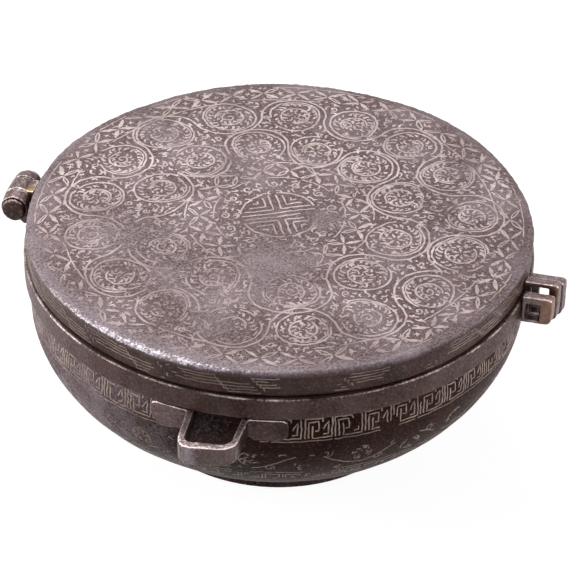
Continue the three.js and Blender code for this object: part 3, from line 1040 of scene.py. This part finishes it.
def sideRubbing(x, y):
    # the lid's side kept its lines best from the hinge to the front loop
    level = 0.5 + 0.45 * ramp(x, 95, 125) - 0.15 * ramp(x, 180, 220)
    return level + 0.75 * cloud(x, y, 17, 12) + 0.25 * cloud(x, 2 * y, 4, 13)


sheet = []
lidWall = lid["radius"] - 0.1
stepStrip(turn * lidWall)
sideGround = wallGround(stepped, lidWall, lidPlate, "lid", lambda z: lidWall)
silverPieces.append(layWires("lidSideInlay", worn(sheet, sideRubbing), sideGround))


# Materials

def linearOf(hexColour):
    # sRGB hex to the linear colour that a node takes
    parts = [int(hexColour[i:i + 2], 16) / 255 for i in (1, 3, 5)]
    return [c / 12.92 if c <= 0.04045 else ((c + 0.055) / 1.055) ** 2.4 for c in parts] + [1.0]


def addNode(tree, kind, inputs=None, **settings):
    # one node: its settings, and for each input, by name or number, a value, a hex colour or the output
    # that it is linked to
    node = tree.nodes.new("ShaderNode" + kind)
    for key, value in settings.items():
        setattr(node, key, value)
    for key, value in (inputs or {}).items():
        if isinstance(value, bpy.types.NodeSocket):
            tree.links.new(value, node.inputs[key])
        else:
            node.inputs[key].default_value = linearOf(value) if isinstance(value, str) else value
    return node


def emptyMaterial(name):
    material = bpy.data.materials.new(name)
    material.use_nodes = True
    material.node_tree.nodes.clear()
    return material, material.node_tree


# Wrought iron under an old brown patina: grainy from rust and polishing, with a lilac-grey haze where
# the hatched ground of lost inlay shows and where a sheen is painted, and bright where it is rubbed and
# where a highlight is painted.
ironLook = {
    "deep": "#4A3839", "body": "#7E6665", "pale": "#A2919A", "speck": "#B5A4A6", "rust": "#7E4538",
    "bright": "#DCD7DF", "frostAndSheen": "#BBAEB7", "brass": "#A5853F", "stain": "#9C6F52",
    "wallDeep": "#241412", "wallBody": "#4C342E", "wallPale": "#715952",    # the patina where nothing rubs, darker still as painted shade on the walls
    "metal": 0.25, "rough": (0.58, 0.42), "specular": 0.25, "ragged": 0.6,
}
# The forged band: the same iron, browner, with a warm line on its edge, rubbed and with a little painted
# highlight
bandLook = dict(ironLook, wallDeep="#2E1C18", wallBody="#5C423C", wallPale="#826A65", bright="#D8C6BE",
                ragged=0.4)
# The bowl's and foot's thick patina: deep brown, and so dull that the table hardly shows in it; its darkest
# colours also hold painted shade at the front
bowlLook = dict(ironLook, wallDeep="#1A0C08", wallBody="#3D241B", wallPale="#5C3F33", specular=0.03,
                metal=0.1)
# size in mm, detail, roughness, and the stretch of the noise that becomes 0 to 1
ironGrains = {
    "grain": (0.9, 6.0, 0.7, 0.36, 0.66),
    "speck": (0.6, 3.0, 0.6, 0.53, 0.64),
    "mottle": (9.0, 5.0, 0.55, 0.38, 0.66),
    "haze": (19.0, 4.0, 0.55, 0.46, 0.72),
    "rust": (6.0, 4.0, 0.55, 0.63, 0.73),
    "pits": (0.75, 4.0, 0.6, 0.3, 0.7),
}
hatchSpacing = 0.75    # mm; the real cuts are about a third of this, too fine to show
waveBand = 0.314       # width of one band of a wave texture at scale 1


def tinted(tree, colour, layers):
    # lays each tint over the colour, by a factor and its strength
    for factor, strength, tint in layers:
        amount = addNode(tree, "Math", {0: factor, 1: strength}, operation="MULTIPLY").outputs[0]
        colour = addNode(tree, "Mix", {0: amount, 6: colour, 7: tint}, data_type="RGBA").outputs[2]
    return colour


def makeIron(name, look):
    material, tree = emptyMaterial(name)
    place = addNode(tree, "TexCoord").outputs["Object"]
    wearAndHighlight, patinaAndShade, braze, haze, stain = [addNode(tree, "Attribute", attribute_name=key).outputs["Fac"]
                                       for key in ("wearAndHighlight", "patinaAndShade", "braze", "haze", "stain")]
    grains = {}
    for key, (size, detail, roughness, low, high) in ironGrains.items():
        clouds = addNode(tree, "TexNoise", {"Vector": place, "Scale": 1 / (size * mm), "Detail": detail,
                                            "Roughness": roughness})
        spread = addNode(tree, "MapRange", {"Value": clouds.outputs[0], "From Min": low, "From Max": high})
        grains[key] = spread.outputs[0]
    hatch = addNode(tree, "TexWave", {"Vector": place, "Scale": waveBand / (hatchSpacing * mm),
                                      "Distortion": 2.5, "Detail": 2.0, "Detail Scale": 0.4},
                    bands_direction="DIAGONAL")
    hatched = addNode(tree, "Math", {0: hatch.outputs["Fac"], 1: grains["haze"]}, operation="MULTIPLY")

    grain = grains["grain"]
    top = addNode(tree, "Mix", {0: grain, 6: look["deep"], 7: look["body"]}, data_type="RGBA").outputs[2]
    top = tinted(tree, top, [(grains["haze"], 0.4, look["pale"]), (hatched.outputs[0], 0.3, look["speck"]),
                             (grains["speck"], 0.3, look["speck"])])
    wall = addNode(tree, "Mix", {0: grain, 6: look["wallDeep"], 7: look["wallBody"]}, data_type="RGBA")
    wall = tinted(tree, wall.outputs[2], [(grains["mottle"], 0.35, look["wallPale"])])
    # the wall colours are mixed in where the patina is deepest and where shade is painted
    colour = addNode(tree, "Mix", {0: patinaAndShade, 6: top, 7: wall}, data_type="RGBA").outputs[2]

    # rubbing brightens towards the bright colour: rubbed metal, and painted highlights and reflections
    ragged = addNode(tree, "Math", {0: grain, 1: look["ragged"], 2: wearAndHighlight}, operation="MULTIPLY_ADD")
    rubbing = addNode(tree, "MapRange", {"Value": ragged.outputs[0], "From Min": look["ragged"] + 0.1,
                                         "From Max": look["ragged"] + 0.7}).outputs[0]
    # the frost colour: lilac-grey haze of lost inlay, and painted sheen on the lid's edge, the bowl's left
    # and the loops' faces
    bloom = addNode(tree, "Math", {0: grain, 1: 0.9, 2: haze}, operation="MULTIPLY_ADD").outputs[0]
    hazeAndSheenAmount = addNode(tree, "MapRange", {"Value": bloom, "From Min": 0.6, "From Max": 1.75}).outputs[0]
    colour = tinted(tree, colour, [(grains["rust"], 0.45, look["rust"]), (braze, 0.8, look["brass"]),
                                   (stain, 0.9, look["stain"]), (hazeAndSheenAmount, 0.6, look["frostAndSheen"]),
                                   (rubbing, 1.0, look["bright"])])
    metal = addNode(tree, "MapRange", {"Value": rubbing, "To Min": look["metal"], "To Max": 0.85}).outputs[0]
    dullest, smoothest = look["rough"]
    dull = addNode(tree, "MapRange", {"Value": grain, "To Min": dullest, "To Max": smoothest}).outputs[0]
    rough = addNode(tree, "MapRange", {"Value": rubbing, "To Min": dull, "To Max": 0.36}).outputs[0]
    bump = addNode(tree, "Bump", {"Height": grains["pits"], "Strength": 0.55, "Distance": 0.12 * mm})
    shader = addNode(tree, "BsdfPrincipled", {"Base Color": colour, "Metallic": metal, "Roughness": rough,
                                              "Specular IOR Level": look["specular"],
                                              "Normal": bump.outputs[0]})
    addNode(tree, "OutputMaterial", {"Surface": shader.outputs[0]})
    return material


# Filed and handled iron: darker and smoother than the body, stained orange by rust and yellow by brass, and
# bright on edges and upward faces from rubbing and painted light
fittingLook = dict(ironLook, deep="#4A383A", body="#846D6D", pale="#A2908F", speck="#A69492",
                   rust="#94542F", wallDeep="#1E1110", wallBody="#46322D", wallPale="#6B534B",
                   bright="#EBD7D5", metal=0.55, rough=(0.36, 0.22), ragged=0.25)

# Fine silver wire hammered into the hatched iron: warm grey from tarnish, and faint where it is rubbed thin
silverLook = {"bright": "#EFE0DE", "tarnish": "#BBA7A5", "faint": "#857170", "grain": 1.4, "patch": 12.0}
# The same wire on the walls, where no cloth rubs, has browned
wallSilverLook = dict(silverLook, bright="#D6C2B6", tarnish="#9C887C", faint="#6A564D")


def makeSilver(name, look):
    material, tree = emptyMaterial(name)
    place = addNode(tree, "TexCoord").outputs["Object"]
    fade = addNode(tree, "Attribute", attribute_name="fade").outputs["Fac"]
    tarnish = addNode(tree, "TexNoise", {"Vector": place, "Scale": 1 / (look["grain"] * mm), "Detail": 4.0})
    spread = addNode(tree, "MapRange", {"Value": tarnish.outputs[0], "From Min": 0.35,
                                        "From Max": 0.68}).outputs[0]
    patches = addNode(tree, "TexNoise", {"Vector": place, "Scale": 1 / (look["patch"] * mm), "Detail": 3.0})
    amount = addNode(tree, "MapRange", {"Value": patches.outputs[0], "From Min": 0.4, "From Max": 0.7,
                                        "To Max": 0.5}).outputs[0]
    colour = addNode(tree, "Mix", {0: spread, 6: look["tarnish"], 7: look["bright"]}, data_type="RGBA")
    colour = tinted(tree, colour.outputs[2], [(amount, 1.0, look["tarnish"]), (fade, 1.0, look["faint"])])
    rough = addNode(tree, "MapRange", {"Value": spread, "To Min": 0.4, "To Max": 0.55}).outputs[0]
    bump = addNode(tree, "Bump", {"Height": spread, "Strength": 0.3, "Distance": 0.05 * mm})
    shader = addNode(tree, "BsdfPrincipled", {"Base Color": colour, "Metallic": 0.4, "Roughness": rough,
                                              "Normal": bump.outputs[0]})
    addNode(tree, "OutputMaterial", {"Surface": shader.outputs[0]})
    return material


def dress(piece, material):
    piece.data.materials.clear()
    piece.data.materials.append(material)


bodyIron = makeIron("wroughtIronPatina", ironLook)
bowlIron = makeIron("wroughtIronDarkPatina", bowlLook)
bandIron = makeIron("forgedBandIron", bandLook)
fittingIron = makeIron("filedFittingIron", fittingLook)
silverWire = makeSilver("hammeredSilverWire", silverLook)
wallWire = makeSilver("brownedSilverWire", wallSilverLook)
dress(lidPlate, bodyIron)
for piece in (bowlBody, footRingForged):
    dress(piece, bowlIron)
dress(rimBandForged, bandIron)
for piece in forged:
    dress(piece, fittingIron)
for piece in silverPieces:
    dress(piece, silverWire if piece.name.startswith("lidInlay") else wallWire)
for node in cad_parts.values():
    dress(node, bodyIron)
print("stage: materials")


# The stage: a white floor that keeps a faint shadow, and soft lamps, the largest above and behind

stage = {"floorSize": 8.0, "dim": "#787878", "seen": "#959595", "lift": 0.92, "room": 0.12}
lampAim = (0, 0, 0.05)
lamps = [
    {"name": "overheadBox", "place": (-0.34, 0.44, 0.9), "size": 0.8, "power": 6.0},
    {"name": "leftBox", "place": (-0.9, -0.16, 0.2), "size": 0.6, "power": 7.5},
    {"name": "rightBox", "place": (0.9, 0.12, 0.26), "size": 0.6, "power": 4.0},
]


def seenRays(tree):
    # 1 for rays from the camera or a reflection, which see the surroundings white
    path = addNode(tree, "LightPath").outputs
    return addNode(tree, "Math", {0: path["Is Camera Ray"], 1: path["Is Glossy Ray"]},
                   operation="ADD", use_clamp=True).outputs[0]


def makeFloor():
    bpy.ops.object.select_all(action="DESELECT")
    bpy.ops.mesh.primitive_plane_add(size=stage["floorSize"], location=(0, 0, 0))
    floor = bpy.context.active_object
    floor.name = "floor"
    paper, tree = emptyMaterial("palePaper")
    plain = addNode(tree, "BsdfDiffuse", {"Color": stage["dim"]})
    shadowed = addNode(tree, "BsdfDiffuse", {"Color": stage["seen"]})
    lift = addNode(tree, "Emission", {"Color": "#FFFFFF", "Strength": stage["lift"]})
    white = addNode(tree, "AddShader", {0: shadowed.outputs[0], 1: lift.outputs[0]})
    mix = addNode(tree, "MixShader", {0: seenRays(tree), 1: plain.outputs[0], 2: white.outputs[0]})
    addNode(tree, "OutputMaterial", {"Surface": mix.outputs[0]})
    dress(floor, paper)


def makeRoom():
    # a soft grey room for the light on the object, white where it is seen
    world = bpy.data.worlds.new("softRoom")
    scene.world = world
    world.use_nodes = True
    tree = world.node_tree
    tree.nodes.clear()
    strength = addNode(tree, "MapRange", {"Value": seenRays(tree), "To Min": stage["room"], "To Max": 1.0})
    sky = addNode(tree, "Background", {"Color": "#FFFFFF", "Strength": strength.outputs[0]})
    addNode(tree, "OutputWorld", {"Surface": sky.outputs[0]})


def addLamp(spec):
    lamp = bpy.data.lights.new(spec["name"], "AREA")
    lamp.size = spec["size"]
    lamp.energy = spec["power"]
    obj = bpy.data.objects.new(spec["name"], lamp)
    scene.collection.objects.link(obj)
    obj.location = spec["place"]
    obj.rotation_euler = (Vector(lampAim) - Vector(spec["place"])).to_track_quat("-Z", "Y").to_euler()


makeFloor()
makeRoom()
for spec in lamps:
    addLamp(spec)

# The photograph's viewpoint: the rim's centre seen from 35.4 degrees above, at 900 mm
cameraFit = {"azimuth": 12.5, "elevation": 35.38, "roll": 0.91, "distance": 0.9, "imagePixels": 570,
             "focalPixels": 2649.4, "shiftX": -5.87, "shiftY": -44.39, "aim": 0.0685}


def addCamera(fit):
    azimuth, elevation = math.radians(fit["azimuth"]), math.radians(fit["elevation"])
    back = Vector((math.sin(azimuth) * math.cos(elevation),
                   -math.cos(azimuth) * math.cos(elevation), math.sin(elevation)))
    camera = bpy.data.cameras.new("camera")
    camera.sensor_width = 36.0
    camera.lens = fit["focalPixels"] * camera.sensor_width / fit["imagePixels"]
    camera.shift_x = -fit["shiftX"] / fit["imagePixels"]
    camera.shift_y = fit["shiftY"] / fit["imagePixels"]
    camera.clip_start = 0.01
    obj = bpy.data.objects.new("camera", camera)
    scene.collection.objects.link(obj)
    tilt = back.to_track_quat("Z", "Y").to_matrix().to_4x4()
    obj.matrix_world = (Matrix.Translation(Vector((0, 0, fit["aim"])) + back * fit["distance"])
                        @ tilt @ Matrix.Rotation(math.radians(fit["roll"]), 4, "Z"))
    scene.camera = obj


addCamera(cameraFit)
print("stage: floor, lamps and camera")
